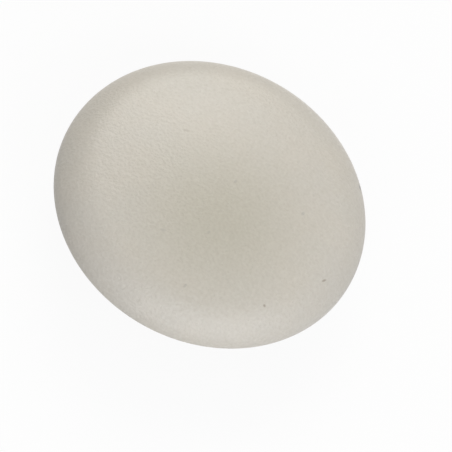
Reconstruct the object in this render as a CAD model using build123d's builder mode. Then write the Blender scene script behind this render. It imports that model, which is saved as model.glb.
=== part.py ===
"""A push-in cap that hides the head of a countersunk cross-recess screw.

The cap is one plastic moulding: a round dome whose shoulder eases into a rounded edge, a flat
ring foot that lies on the board around the screw, a shallow hollow that clears the screw's head,
and a tapered cross plug that wedges into a size 2 recess.

Millimetres. The origin is the middle of the ring foot's seat, +Z points out of the crown, and the
plug hangs down along -Z with its four wings along X and Y.
"""

from build123d import *
from math import radians, sin, tan
import os

# Head
head_dia = 12.0
side_land = 0.03  # upright strip at the foot of the rim, where the mould parts
edge_radius = 0.89  # rounds the rim over
edge_slope = 57.0  # degrees that the head falls away by where its rounded edge begins
shoulder_radius = 2.1  # eases the crown into the rounded edge
crown_slope = 15.0  # degrees that the crown falls away by where it meets the shoulder

# Underside
foot_width = 0.75
foot_edge_radius = 0.1
hollow_depth = 0.75  # seat up to the hollow's flat roof
hollow_draft = 8.0  # degrees
hollow_corner_radius = 0.6

# Size 2 cross recess in the screw, which the plug has to fit
recess_mouth_dia = 4.4
recess_bottom_dia = 2.29
recess_half_angle = 26.5  # degrees, of the cone that the ends of the recess's wings lie on
recess_bottom_angle = 140.0  # degrees, of the cone that its bottom lies on
recess_wing_width = 0.7  # at its bottom
recess_flank_angle = 2.9  # degrees, between each flank of a wing and the axis

# Cross plug
end_clearance = 0.05  # between the ends of the wings and the recess, square to the axis
wing_grip = 0.03  # how much wider a wing is than the recess, so that it wedges
wing_end_width = 0.56  # at the roof, where the wing narrows to its end
wing_straight = 0.9  # how far out from the axis a wing still has its full width
core_radius = 0.25  # fills the inner corners between the wings
nose_flat_dia = 0.8
nose_lead = 0.1  # bevel round the nose, which leads the plug into the recess
plug_edge_radius = 0.08
root_radius = 0.15

head_radius = head_dia / 2
foot_inner_radius = head_radius - foot_width
hollow_roof_radius = foot_inner_radius - hollow_depth * tan(radians(hollow_draft))

cone_slope = tan(radians(recess_half_angle))
seat_reach = recess_mouth_dia / 2 - end_clearance
nose_reach = recess_bottom_dia / 2 - end_clearance
roof_reach = seat_reach + hollow_depth * cone_slope
cone_length = (seat_reach - nose_reach) / cone_slope
nose_length = (nose_reach - nose_flat_dia / 2) / tan(radians(recess_bottom_angle / 2))
plug_length = cone_length + nose_length

wing_spread = 2 * (hollow_depth + cone_length) * tan(radians(recess_flank_angle))
wing_root_width = recess_wing_width + wing_grip + wing_spread

# Each flank of a wing is one plane, which leans in evenly from the axis out past the wing's end
wing_taper = (wing_root_width - wing_end_width) / (roof_reach - wing_straight)
axis_width = wing_root_width + wing_taper * wing_straight
trim_reach = roof_reach + wing_end_width / 2
trim_width = wing_root_width - wing_taper * (trim_reach - wing_straight)

section_plane = Plane.XZ
roof_plane = Plane(origin=(0, 0, hollow_depth), x_dir=(1, 0, 0), z_dir=(0, 0, -1))


# One wing seen along the axis: a long wedge, drawn past its end, where the cone then trims it
with BuildSketch(roof_plane) as wing:
    with BuildLine():
        Polyline(
            (0, axis_width / 2),
            (trim_reach, trim_width / 2),
            (trim_reach, -trim_width / 2),
            (0, -axis_width / 2),
            close=True,
        )
    make_face()

# The inner corners between the wings are the four nearest to the axis
with BuildSketch(roof_plane) as cross:
    with PolarLocations(0, 4):
        add(wing.sketch)
    fillet(cross.vertices().sort_by(SortBy.DISTANCE)[:4], radius=core_radius)

# Cross plug, with flanks that taper like those of the recess
with BuildPart() as plug:
    extrude(cross.sketch, amount=hollow_depth + plug_length)
    flanks = plug.faces().filter_by(Axis.Z, reverse=True)
    draft(flanks, neutral_plane=roof_plane, angle=recess_flank_angle)

    # The steep cone of the recess trims the wings, and the flat cone of its bottom blunts the nose
    with BuildSketch(section_plane) as envelope:
        with BuildLine():
            Polyline(
                (0, hollow_depth),
                (roof_reach, hollow_depth),
                (nose_reach, -cone_length),
                (nose_flat_dia / 2, -plug_length),
                (0, -plug_length),
                close=True,
            )
        make_face()
        nose_corner = envelope.vertices().sort_by_distance((nose_reach, -cone_length))[0]
        chamfer(nose_corner, length=nose_lead)
    revolve(axis=Axis.Z, mode=Mode.INTERSECT)

    # Above the bevel, the only curved edges below the roof run up both sides of each wing's end
    curved = plug.edges().filter_by(GeomType.LINE, reverse=True)
    wing_ends = curved.filter_by_position(
        Axis.Z, nose_lead - cone_length, hollow_depth - plug_edge_radius
    )
    fillet(wing_ends, radius=plug_edge_radius)


# Whole cap: the head turned from half of its section, and the plug standing on the hollow's roof
with BuildPart() as screw_cap:
    with BuildSketch(section_plane) as section:
        with BuildLine():
            land = Line((head_radius, 0), (head_radius, side_land))
            rim = JernArc(land @ 1, land % 1, edge_radius, 90 - edge_slope)
            shoulder = JernArc(rim @ 1, rim % 1, shoulder_radius, edge_slope - crown_slope)
            crown_radius = (shoulder @ 1).X / sin(radians(crown_slope))
            crown = JernArc(shoulder @ 1, shoulder % 1, crown_radius, crown_slope)
            Polyline(
                crown @ 1,
                (0, hollow_depth),
                (hollow_roof_radius, hollow_depth),
                (foot_inner_radius, 0),
                land @ 0,
            )
        make_face()
        roof_corner = section.vertices().sort_by_distance((hollow_roof_radius, hollow_depth))[0]
        fillet(roof_corner, radius=hollow_corner_radius)
        foot_corner = section.vertices().sort_by_distance((foot_inner_radius, 0))[0]
        fillet(foot_corner, radius=foot_edge_radius)
    revolve(axis=Axis.Z)

    # The roof is the highest flat face, and the plug's outline is the hole in it
    add(plug.part)
    roof = screw_cap.faces().filter_by(Axis.Z).sort_by(Axis.Z)[-1]
    fillet(roof.inner_wires()[0].edges(), radius=root_radius)

screw_cap.part.label = "screw_cap"

os.makedirs("parts", exist_ok=True)
export_step(screw_cap.part, "parts/screw_cap.step")
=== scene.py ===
"""The looks of a push-in cover cap for a screw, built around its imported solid.

The cap lies level with its crown up, and its plug's nose touches the floor. The camera looks down on
it from the front and is rolled, so the cap leans over in the picture as it does in the photograph.
"""

from math import atan2, cos, pi, radians, sin, sqrt, tan

import bpy
import numpy as np
from mathutils import Matrix, Vector


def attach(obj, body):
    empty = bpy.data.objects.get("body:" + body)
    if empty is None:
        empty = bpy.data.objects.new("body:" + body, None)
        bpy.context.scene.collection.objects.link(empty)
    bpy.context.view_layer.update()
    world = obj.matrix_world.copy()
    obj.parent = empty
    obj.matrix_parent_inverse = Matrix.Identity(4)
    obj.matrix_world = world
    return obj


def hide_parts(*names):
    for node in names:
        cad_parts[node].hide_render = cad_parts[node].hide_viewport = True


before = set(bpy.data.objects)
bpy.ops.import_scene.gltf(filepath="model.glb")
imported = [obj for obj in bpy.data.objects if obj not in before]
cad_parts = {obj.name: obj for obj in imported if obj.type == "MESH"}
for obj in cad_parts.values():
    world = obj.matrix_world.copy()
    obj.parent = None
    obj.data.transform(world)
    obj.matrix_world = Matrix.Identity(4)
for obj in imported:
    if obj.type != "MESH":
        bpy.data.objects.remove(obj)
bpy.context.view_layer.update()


# Camera. A long lens looks down on the crown from the front, 58 degrees above the floor, and is
# rolled until the cap's own axis leans to the right by as much as it does in the photograph.
mm = 0.001
picture_size = 452
sensor_width = 36.0
view_distance = 240.0 * mm
view_elevation = radians(57.59)
view_roll = radians(29.53)
head_radius_in_pixels = 160.97
seat_pixel = (209.89, 204.89)  # where the middle of the ring foot's seat lies in the picture

head_radius = 6.0
pixels_per_mm = head_radius_in_pixels / head_radius
view_lens = pixels_per_mm / mm * view_distance * sensor_width / picture_size

toward_camera = Vector((0, -cos(view_elevation), sin(view_elevation)))
level_right = Vector((1, 0, 0))
level_up = toward_camera.cross(level_right)
picture_right = cos(view_roll) * level_right + sin(view_roll) * level_up
picture_up = cos(view_roll) * level_up - sin(view_roll) * level_right
seat_right = (seat_pixel[0] - picture_size / 2) / pixels_per_mm * mm
seat_up = (picture_size / 2 - seat_pixel[1]) / pixels_per_mm * mm

camera_data = bpy.data.cameras.new("camera")
camera_data.sensor_width = sensor_width
camera_data.lens = view_lens
camera_data.clip_start = 1 * mm
camera_data.clip_end = 10.0
camera = bpy.data.objects.new("camera", camera_data)
camera_turn = Matrix((picture_right, picture_up, toward_camera)).transposed()
camera_place = toward_camera * view_distance - picture_right * seat_right - picture_up * seat_up
camera.matrix_world = Matrix.Translation(camera_place) @ camera_turn.to_4x4()
bpy.context.scene.collection.objects.link(camera)
bpy.context.scene.camera = camera


# Cap. One moulding of off-white plastic: a low dome rounded over at its edge, a ring foot, a shallow
# hollow inside the foot and a tapered cross plug, which is pushed into the recess of the screw.

# Head and hollow, with lengths in millimetres and slopes in degrees
side_land = 0.03
edge_radius = 0.89
edge_slope = 57.0
shoulder_radius = 2.1
crown_slope = 15.0
foot_inner_radius = 5.25
foot_edge_radius = 0.1
foot_border = 0.03  # a narrow border keeps the foot's sharp outer corner clean in shading
hollow_depth = 0.75
hollow_draft = 8.0
hollow_corner_radius = 0.6

# Plug
flank_angle = radians(2.9)
end_angle = radians(26.5)
seat_reach = 2.15
full_width = 1.02038
full_width_reach = 0.9
end_width = 0.56
core_radius = 0.25
wing_edge_radius = 0.08
root_radius = 0.15
nose_reach = 1.095
nose_flat_radius = 0.4
nose_angle = radians(20.0)
nose_lead = 0.1
nose_edge_softness = 0.03

# Steps along the head's section, inwards over the roof, down the plug and round half a wing
crown_steps = 26
shoulder_steps = 14
edge_steps = 14
foot_edge_steps = 6
hollow_corner_steps = 8
roof_steps = 5
root_steps = 9
wall_shares = (0.12, 0.3, 0.5, 0.7, 0.88, 1.0)
nose_edge_steps = 4
nose_cone_steps = 4
wing_end_steps = 6
wing_edge_steps = 8
flank_steps = 10
core_steps = 8
columns = 8 * (wing_end_steps + wing_edge_steps + flank_steps + core_steps)
sharp_angle = radians(20)


def arc(centre, radius, start, stop, steps):
    """Points (r, z) along an arc, whose angles in degrees are counted down from straight up."""
    angles = [radians(start + (stop - start) * i / steps) for i in range(1, steps + 1)]
    return [(centre[0] + radius * sin(a), centre[1] + radius * cos(a)) for a in angles]


def next_centre(centre, radius, next_radius, angle):
    """Centre of an arc that goes on smoothly from another one at an angle."""
    step = next_radius - radius
    return (centre[0] - step * sin(radians(angle)), centre[1] - step * cos(radians(angle)))


def head_section():
    """The crown's height, and half of the head's section from there round to the hollow's roof."""
    edge_centre = (head_radius - edge_radius, side_land)
    shoulder_centre = next_centre(edge_centre, edge_radius, shoulder_radius, edge_slope)
    crown_radius = shoulder_radius + shoulder_centre[0] / sin(radians(crown_slope))
    crown_centre = next_centre(shoulder_centre, shoulder_radius, crown_radius, crown_slope)
    section = arc(crown_centre, crown_radius, 0, crown_slope, crown_steps)
    section += arc(shoulder_centre, shoulder_radius, crown_slope, edge_slope, shoulder_steps)
    section += arc(edge_centre, edge_radius, edge_slope, 90, edge_steps)
    section += [(head_radius, 0), (head_radius - foot_border, 0)]
    corner_share = tan(pi / 4 + radians(hollow_draft) / 2)
    foot_centre = (foot_inner_radius + foot_edge_radius / corner_share, foot_edge_radius)
    section += arc(foot_centre, foot_edge_radius, 180, 270 - hollow_draft, foot_edge_steps)
    roof_radius = foot_inner_radius - hollow_depth * tan(radians(hollow_draft))
    corner_r = roof_radius - hollow_corner_radius / corner_share
    corner_centre = (corner_r, hollow_depth - hollow_corner_radius)
    section += arc(corner_centre, hollow_corner_radius, 90 - hollow_draft, 0, hollow_corner_steps)
    return crown_centre[1] + crown_radius, section


def stand_out(height, angle):
    """How far the root's rounding stands out from a wall that leans by an angle."""
    below = hollow_depth - height
    reach_down = root_radius * (1 - sin(angle))
    if below >= reach_down:
        return 0.0
    level = height - (hollow_depth - root_radius)
    round_out = sqrt(max(root_radius**2 - level**2, 0))
    return reach_down / cos(angle) - round_out + below * tan(angle)


def level_ring(outline, height):
    """A ring of points on one level."""
    return np.column_stack((outline, np.full(columns, height)))


def plug_ring(height):
    """The cross at one height; just below the roof its walls stand out into the rounded root."""
    flank_out = stand_out(height, flank_angle)
    end_out = stand_out(height, end_angle)
    roof_reach = seat_reach + hollow_depth * tan(end_angle)
    half_slope = (full_width - end_width) / 2 / (roof_reach - full_width_reach)
    lean = atan2(half_slope, 1)
    drawn_in = (hollow_depth - height) * tan(flank_angle) - flank_out
    flank_start = full_width / 2 + half_slope * full_width_reach - drawn_in / cos(lean)
    end_radius = seat_reach + height * tan(end_angle) + end_out
    edge = wing_edge_radius + (flank_out + end_out) / 2
    core = core_radius + drawn_in

    # Where the rounded edge between the flank and the end has its centre
    inner_start = flank_start - edge / cos(lean)
    inner_radius = end_radius - edge
    reach = sqrt(inner_radius**2 - (inner_start * cos(lean)) ** 2)
    foot_x = inner_start * sin(lean) * cos(lean)
    foot_y = inner_start * cos(lean) ** 2
    centre = (foot_x + reach * cos(lean), foot_y - reach * sin(lean))
    end_turn = atan2(centre[1], centre[0])
    flank_turn = pi / 2 - lean

    # Where the rounded corner of the core has its centre, on the diagonal
    core_middle = (flank_start * cos(lean) + core) / (cos(lean) + sin(lean))

    # Half a wing, from the middle of its end to the diagonal, and then the whole cross from that
    half = []
    for i in range(wing_end_steps):
        a = end_turn * i / wing_end_steps
        half.append((end_radius * cos(a), end_radius * sin(a)))
    for i in range(wing_edge_steps):
        a = end_turn + (flank_turn - end_turn) * i / wing_edge_steps
        half.append((centre[0] + edge * cos(a), centre[1] + edge * sin(a)))
    first = (centre[0] + edge * cos(flank_turn), centre[1] + edge * sin(flank_turn))
    last = (core_middle - core * cos(flank_turn), core_middle - core * sin(flank_turn))
    for i in range(flank_steps):
        share = i / flank_steps
        half.append(tuple(first[k] + (last[k] - first[k]) * share for k in (0, 1)))
    for i in range(core_steps + 1):
        a = flank_turn + (pi / 4 - flank_turn) * i / core_steps + pi
        half.append((core_middle + core * cos(a), core_middle + core * sin(a)))
    quarter = half[:-1] + [(y, x) for x, y in reversed(half[1:])]
    outline = []
    for c, s in ((1, 0), (0, 1), (-1, 0), (0, -1)):
        outline += [(c * x - s * y, s * x + c * y) for x, y in quarter]
    return level_ring(np.array(outline), height)


# The crown, the rounded edge, the foot and the hollow are turned
crown_height, head_points = head_section()
turns = np.arange(columns) * 2 * pi / columns
circle = np.column_stack((np.cos(turns), np.sin(turns)))
rings = [level_ring(r * circle, z) for r, z in head_points]

# The flat roof runs from the hollow's rounded corner to the plug's rounded root
hollow_ring = rings[-1]
root_ring = plug_ring(hollow_depth)
for i in range(1, roof_steps + 1):
    rings.append(hollow_ring + (root_ring - hollow_ring) * (i / roof_steps))
for i in range(1, root_steps + 1):
    root_turn = pi / 2 * (1 - i / root_steps) + flank_angle * i / root_steps
    rings.append(plug_ring(hollow_depth - root_radius * (1 - sin(root_turn))))

# The nose in section, as (r, z): a flat, a low cone and the bevel round it
nose_corner = -(seat_reach - nose_reach) / tan(end_angle)
nose_tip = nose_corner - (nose_reach - nose_flat_radius) * tan(nose_angle)
bevel_foot = (nose_reach - nose_lead * cos(nose_angle), nose_corner - nose_lead * sin(nose_angle))
bevel_head = (nose_reach + nose_lead * sin(end_angle), nose_corner + nose_lead * cos(end_angle))


def nose_height(r):
    """Height of the nose's face at each distance from the axis."""
    cone = nose_tip + np.maximum(r - nose_flat_radius, 0) * tan(nose_angle)
    rise = bevel_head[1] - bevel_foot[1]
    run = bevel_head[0] - bevel_foot[0]
    bevel = bevel_foot[1] + (r - bevel_foot[0]) * rise / run
    return np.where(r > bevel_foot[0], np.maximum(cone, bevel), cone)


# Each column of the wall runs straight down to where it meets the nose, which halving finds
below_nose = -2.4
halvings = 40
wall_top = rings[-1]
wall_low = plug_ring(below_nose)
share_low = np.zeros(columns)
share_high = np.ones(columns)
for _ in range(halvings):
    share = (share_low + share_high) / 2
    point = wall_top + (wall_low - wall_top) * share[:, None]
    over = point[:, 2] > nose_height(np.hypot(point[:, 0], point[:, 1]))
    share_low = np.where(over, share, share_low)
    share_high = np.where(over, share_high, share)
corner = wall_top + (wall_low - wall_top) * share_low[:, None]
wall_end = corner + (wall_top - corner) * (nose_edge_softness / (wall_top - corner)[:, 2])[:, None]
for share in wall_shares:
    rings.append(wall_top + (wall_end - wall_top) * share)

corner_r = np.hypot(corner[:, 0], corner[:, 1])
outward = corner[:, :2] / corner_r[:, None]


def nose_ring(r):
    """A ring of points on the nose's face."""
    return np.column_stack((outward * r[:, None], nose_height(r)))


# The nose's edge is softened, and inside it the bevel, the cone and the flat follow
least_gap = 0.002
soft_r = corner_r - nose_edge_softness
nose_start = nose_ring(soft_r)
for i in range(1, nose_edge_steps + 1):
    t = i / nose_edge_steps
    rings.append((1 - t) ** 2 * wall_end + 2 * t * (1 - t) * corner + t**2 * nose_start)
inner_r = np.minimum(bevel_foot[0], soft_r - least_gap)
for i in range(nose_cone_steps + 1):
    rings.append(nose_ring(inner_r + (nose_flat_radius - inner_r) * (i / nose_cone_steps)))
rings.append(nose_ring(np.full(columns, nose_flat_radius / 2)))

# One closed skin: a fan at the crown, a band between each two rings and a fan at the nose
points = np.vstack([[(0, 0, crown_height)]] + rings + [[(0, 0, nose_tip)]]) * mm
last_point = len(points) - 1
last_ring = last_point - columns
faces = []
for i in range(columns):
    j = (i + 1) % columns
    faces.append((0, 1 + i, 1 + j))
    for upper in range(1, last_ring, columns):
        lower = upper + columns
        faces.append((upper + i, lower + i, lower + j, upper + j))
    faces.append((last_ring + i, last_point, last_ring + j))
cap_mesh = bpy.data.meshes.new("cap")
cap_mesh.from_pydata(points.tolist(), [], faces)
cap_mesh.validate()
cap_mesh.shade_smooth()
cap_mesh.set_sharp_from_angle(angle=sharp_angle)
cap = bpy.data.objects.new("cap", cap_mesh)
bpy.context.scene.collection.objects.link(cap)

# The plastic's colours, and where and how far the painted shade in its middle reaches, in millimetres
warm_tone = (0.617, 0.570, 0.496, 1)
cool_tone = (0.594, 0.565, 0.506, 1)
painted_shade_tone = (0.509, 0.477, 0.396, 1)
painted_shade_place = (0.5, -1.5)
painted_shade_radius = 5.0
grain_dark = (0.89, 0.88, 0.86, 1)
grain_pale = (1.11, 1.12, 1.14, 1)

# Its noises, each as the size of a feature in millimetres, the detail and a shift in metres
cloud_noise = (1.6, 2.0, (0.01, 0.02, 0.03))
grain_noise = (0.11, 3.0, (0.05, 0.01, 0.04))
wave_noise = (0.7, 1.0, (0.02, 0.05, 0.01))

# Its gloss, and the relief of the grain and of the faint waves in millimetres
plastic_ior = 1.5
least_roughness = 0.31
most_roughness = 0.41
grain_relief = 0.028
grain_strength = 1.0
wave_relief = 0.002
wave_strength = 0.6

# Small marks in the crown and rim: where, turn, half length, half width in mm, colour and depth
brown = (0.30, 0.24, 0.18, 1)
grey = (0.25, 0.24, 0.23, 1)
specks = (
    ((3.585, -3.464, 1.273), 0.4, 0.062, 0.050, brown, 0.60),
    ((5.064, -1.162, 1.160), -1.0, 0.115, 0.038, brown, 0.62),
    ((4.574, 3.584, 0.582), -0.9, 0.100, 0.130, grey, 0.90),
    ((3.171, 0.587, 1.717), 0.3, 0.060, 0.090, grey, 0.28),
    ((-2.115, 1.170, 1.846), -0.35, 0.150, 0.055, brown, 0.25),
    ((0.404, 0.171, 2.004), 0.2, 0.055, 0.085, grey, 0.25),
    ((0.470, -2.253, 1.861), 0.2, 0.055, 0.085, grey, 0.18),
    ((-1.024, -3.050, 1.719), -0.35, 0.110, 0.060, grey, 0.18),
    ((0.681, -4.501, 1.422), 0.2, 0.055, 0.110, grey, 0.22),
)

# A speck is whole out to the first share of its half length and width, and gone at the second
speck_whole = 0.5
speck_gone = 1.3


def speck_group():
    """Puts out a mask for one small mark at a place on the cap."""
    group = bpy.data.node_groups.new("speck", "ShaderNodeTree")
    inputs = (
        ("Position", "NodeSocketVector"),
        ("Centre", "NodeSocketVector"),
        ("Turn", "NodeSocketFloat"),
        ("Half Length", "NodeSocketFloat"),
        ("Half Width", "NodeSocketFloat"),
    )
    for name, kind in inputs:
        group.interface.new_socket(name, in_out="INPUT", socket_type=kind)
    group.interface.new_socket("Mask", in_out="OUTPUT", socket_type="NodeSocketFloat")
    nodes, links = group.nodes, group.links
    given = nodes.new("NodeGroupInput")
    result = nodes.new("NodeGroupOutput")
    away = nodes.new("ShaderNodeVectorMath")
    away.operation = "SUBTRACT"
    links.new(given.outputs["Position"], away.inputs[0])
    links.new(given.outputs["Centre"], away.inputs[1])
    turned = nodes.new("ShaderNodeVectorRotate")
    turned.rotation_type = "Z_AXIS"
    links.new(away.outputs["Vector"], turned.inputs["Vector"])
    links.new(given.outputs["Turn"], turned.inputs["Angle"])
    size = nodes.new("ShaderNodeCombineXYZ")
    links.new(given.outputs["Half Length"], size.inputs["X"])
    links.new(given.outputs["Half Width"], size.inputs["Y"])
    links.new(given.outputs["Half Length"], size.inputs["Z"])
    share = nodes.new("ShaderNodeVectorMath")
    share.operation = "DIVIDE"
    links.new(turned.outputs["Vector"], share.inputs[0])
    links.new(size.outputs["Vector"], share.inputs[1])
    length = nodes.new("ShaderNodeVectorMath")
    length.operation = "LENGTH"
    links.new(share.outputs["Vector"], length.inputs[0])
    fade = nodes.new("ShaderNodeMapRange")
    fade.interpolation_type = "SMOOTHSTEP"
    fade.inputs["From Min"].default_value = speck_gone
    fade.inputs["From Max"].default_value = speck_whole
    links.new(length.outputs["Value"], fade.inputs["Value"])
    links.new(fade.outputs["Result"], result.inputs["Mask"])
    return group


def cap_plastic():
    """Off-white moulded plastic: faintly mottled, finely grained, with a few dark specks and painted
    shade in its middle.
    """
    material = bpy.data.materials.new("cap_plastic")
    material.use_nodes = True
    nodes, links = material.node_tree.nodes, material.node_tree.links
    shader = nodes["Principled BSDF"]
    shader.inputs["IOR"].default_value = plastic_ior
    place = nodes.new("ShaderNodeTexCoord")

    def noise(size, detail, shift):
        """Noise with features of a size in millimetres."""
        shifted = nodes.new("ShaderNodeMapping")
        shifted.inputs["Location"].default_value = shift
        links.new(place.outputs["Object"], shifted.inputs["Vector"])
        texture = nodes.new("ShaderNodeTexNoise")
        texture.inputs["Scale"].default_value = 1 / (size * mm)
        texture.inputs["Detail"].default_value = detail
        links.new(shifted.outputs["Vector"], texture.inputs["Vector"])
        return texture.outputs["Fac"]

    def mix(share, low, high, blend="MIX"):
        """Blends two colours, or sockets that give colours, by a share from 0 to 1."""
        node = nodes.new("ShaderNodeMix")
        node.data_type = "RGBA"
        node.blend_type = blend
        given = ((node.inputs["Factor"], share), (node.inputs[6], low), (node.inputs[7], high))
        for socket, value in given:
            if isinstance(value, bpy.types.NodeSocket):
                links.new(value, socket)
            else:
                socket.default_value = value
        return node.outputs[2]

    grain = noise(*grain_noise)
    tone = mix(noise(*cloud_noise), warm_tone, cool_tone)

    # Painted shade: over the plug the colour is made a little darker and yellower. It is strongest a
    # little in front of the middle, and it fades out all round.
    x, y = painted_shade_place
    across = nodes.new("ShaderNodeVectorMath")
    across.operation = "MULTIPLY_ADD"
    across.inputs[1].default_value = (1, 1, 0)
    across.inputs[2].default_value = (-x * mm, -y * mm, 0)
    links.new(place.outputs["Object"], across.inputs[0])
    from_middle = nodes.new("ShaderNodeVectorMath")
    from_middle.operation = "LENGTH"
    links.new(across.outputs["Vector"], from_middle.inputs[0])
    painted_shade_mask = nodes.new("ShaderNodeMapRange")
    painted_shade_mask.interpolation_type = "SMOOTHSTEP"
    painted_shade_mask.inputs["From Min"].default_value = painted_shade_radius * mm
    painted_shade_mask.inputs["From Max"].default_value = 0
    links.new(from_middle.outputs["Value"], painted_shade_mask.inputs["Value"])
    tone = mix(painted_shade_mask.outputs["Result"], tone, painted_shade_tone)
    colour = mix(1.0, tone, mix(grain, grain_dark, grain_pale), "MULTIPLY")

    mark_group = speck_group()
    for centre, turn, half_length, half_width, mark_colour, depth in specks:
        mark = nodes.new("ShaderNodeGroup")
        mark.node_tree = mark_group
        links.new(place.outputs["Object"], mark.inputs["Position"])
        mark.inputs["Centre"].default_value = [c * mm for c in centre]
        mark.inputs["Turn"].default_value = turn
        mark.inputs["Half Length"].default_value = half_length * mm
        mark.inputs["Half Width"].default_value = half_width * mm
        strength = nodes.new("ShaderNodeMath")
        strength.operation = "MULTIPLY"
        strength.inputs[1].default_value = depth
        links.new(mark.outputs["Mask"], strength.inputs[0])
        colour = mix(strength.outputs[0], colour, mark_colour)
    links.new(colour, shader.inputs["Base Color"])

    finish = nodes.new("ShaderNodeMapRange")
    finish.inputs["To Min"].default_value = least_roughness
    finish.inputs["To Max"].default_value = most_roughness
    links.new(grain, finish.inputs["Value"])
    links.new(finish.outputs["Result"], shader.inputs["Roughness"])

    waves = nodes.new("ShaderNodeBump")
    waves.inputs["Distance"].default_value = wave_relief * mm
    waves.inputs["Strength"].default_value = wave_strength
    links.new(noise(*wave_noise), waves.inputs["Height"])
    bump = nodes.new("ShaderNodeBump")
    bump.inputs["Distance"].default_value = grain_relief * mm
    bump.inputs["Strength"].default_value = grain_strength
    links.new(grain, bump.inputs["Height"])
    links.new(waves.outputs["Normal"], bump.inputs["Normal"])
    links.new(bump.outputs["Normal"], shader.inputs["Normal"])
    return material


cap.data.materials.append(cap_plastic())
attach(cap, "root")
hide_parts("screw_cap")


# Floor. A plain white sheet that the plug's nose touches, as on a lit table. It shows plain white but
# keeps the cap's soft shadow. It lets some light through to the underside, and it can be seen through
# from below.
floor_height = nose_tip * mm
floor_half = 0.25
plain_white = (1, 1, 1, 1)
seen_white = 0.92  # share of plain white in what is seen of the floor, and the rest is its shading
seen_paint = 0.9
lit_clear = 0.5  # share of the light that it lets through
lit_paint = 0.36  # share of the other light that it throws back on the cap

floor_corners = ((-1, -1), (1, -1), (1, 1), (-1, 1))
floor_points = [(x * floor_half, y * floor_half, floor_height) for x, y in floor_corners]
floor_mesh = bpy.data.meshes.new("floor")
floor_mesh.from_pydata(floor_points, [], [(0, 1, 2, 3)])
floor = bpy.data.objects.new("floor", floor_mesh)
bpy.context.scene.collection.objects.link(floor)


def shown_rays(nodes, links):
    """Gives 1 for rays that show a background: those seen straight, mirrored or through glass."""
    rays = nodes.new("ShaderNodeLightPath").outputs
    found = rays["Is Camera Ray"]
    for kind in ("Is Glossy Ray", "Is Transmission Ray"):
        larger = nodes.new("ShaderNodeMath")
        larger.operation = "MAXIMUM"
        links.new(found, larger.inputs[0])
        links.new(rays[kind], larger.inputs[1])
        found = larger.outputs[0]
    return found


def floor_sheet():
    """White where it is seen, but for a share of its real shading; dull and half clear to light."""
    material = bpy.data.materials.new("floor_sheet")
    material.use_nodes = True
    nodes, links = material.node_tree.nodes, material.node_tree.links
    nodes.remove(nodes["Principled BSDF"])
    clear = nodes.new("ShaderNodeBsdfTransparent")
    white = nodes.new("ShaderNodeEmission")
    white.inputs["Color"].default_value = plain_white
    white.inputs["Strength"].default_value = 1.0
    side = nodes.new("ShaderNodeNewGeometry")

    def paint(level):
        """A matt grey that gives back a share of the light."""
        node = nodes.new("ShaderNodeBsdfDiffuse")
        node.inputs["Color"].default_value = (level, level, level, 1)
        return node.outputs["BSDF"]

    def blend(share, first, second):
        """Blends two shaders by the second one's share, a number or a socket that gives one."""
        node = nodes.new("ShaderNodeMixShader")
        if isinstance(share, bpy.types.NodeSocket):
            links.new(share, node.inputs["Fac"])
        else:
            node.inputs["Fac"].default_value = share
        links.new(first, node.inputs[1])
        links.new(second, node.inputs[2])
        return node.outputs["Shader"]

    shown = blend(seen_white, paint(seen_paint), white.outputs["Emission"])
    lit = blend(lit_clear, paint(lit_paint), clear.outputs["BSDF"])
    top = blend(shown_rays(nodes, links), lit, shown)
    surface = blend(side.outputs["Backfacing"], top, clear.outputs["BSDF"])
    links.new(surface, nodes["Material Output"].inputs["Surface"])
    return material


floor.data.materials.append(floor_sheet())


# Light. Two banks of soft boxes face the cap, a slightly cool one in front of it and to its right and
# a slightly warm one behind it and to its left. An even pale surround fills in between, and like the
# floor it shows plain white. The level is plain, so the plastic looks about as its colours say.
lamp_distance = 0.3
surround_level = 0.352
cool = (0.98, 1.0, 1.04)
warm = (1.02, 1.0, 0.94)

# Name, azimuth and elevation in degrees, side in metres, energy in watts and colour; azimuth 0 is the
# camera's side and 90 is its right
soft_boxes = (
    ("front_low", 30, 19, 0.4, 0.568, cool),
    ("front_left", 0, 32, 0.2, 0.120, cool),
    ("front_right", 60, 32, 0.2, 0.184, cool),
    ("back_low", 200, 32, 0.2, 0.352, warm),
    ("back_high", 210, 45, 0.2, 0.130, warm),
)
for name, azimuth, elevation, side, energy, colour in soft_boxes:
    lamp_data = bpy.data.lights.new(name, "AREA")
    lamp_data.shape = "SQUARE"
    lamp_data.size = side
    lamp_data.energy = energy
    lamp_data.color = colour
    lamp = bpy.data.objects.new(name, lamp_data)
    az, el = radians(azimuth), radians(elevation)
    direction = Vector((sin(az) * cos(el), -cos(az) * cos(el), sin(el)))
    lamp.location = direction * lamp_distance
    lamp.rotation_euler = direction.to_track_quat("Z", "Y").to_euler()
    lamp.visible_camera = False
    bpy.context.scene.collection.objects.link(lamp)

world = bpy.data.worlds.new("surround")
bpy.context.scene.world = world
world.use_nodes = True
nodes, links = world.node_tree.nodes, world.node_tree.links
surround = nodes["Background"]
surround.inputs["Color"].default_value = plain_white
surround.inputs["Strength"].default_value = surround_level
shown = nodes.new("ShaderNodeBackground")
shown.inputs["Color"].default_value = plain_white
shown.inputs["Strength"].default_value = 1.0
either = nodes.new("ShaderNodeMixShader")
links.new(shown_rays(nodes, links), either.inputs["Fac"])
links.new(surround.outputs["Background"], either.inputs[1])
links.new(shown.outputs["Background"], either.inputs[2])
links.new(either.outputs["Shader"], nodes["World Output"].inputs["Surface"])

bpy.context.scene.view_settings.view_transform = "Standard"
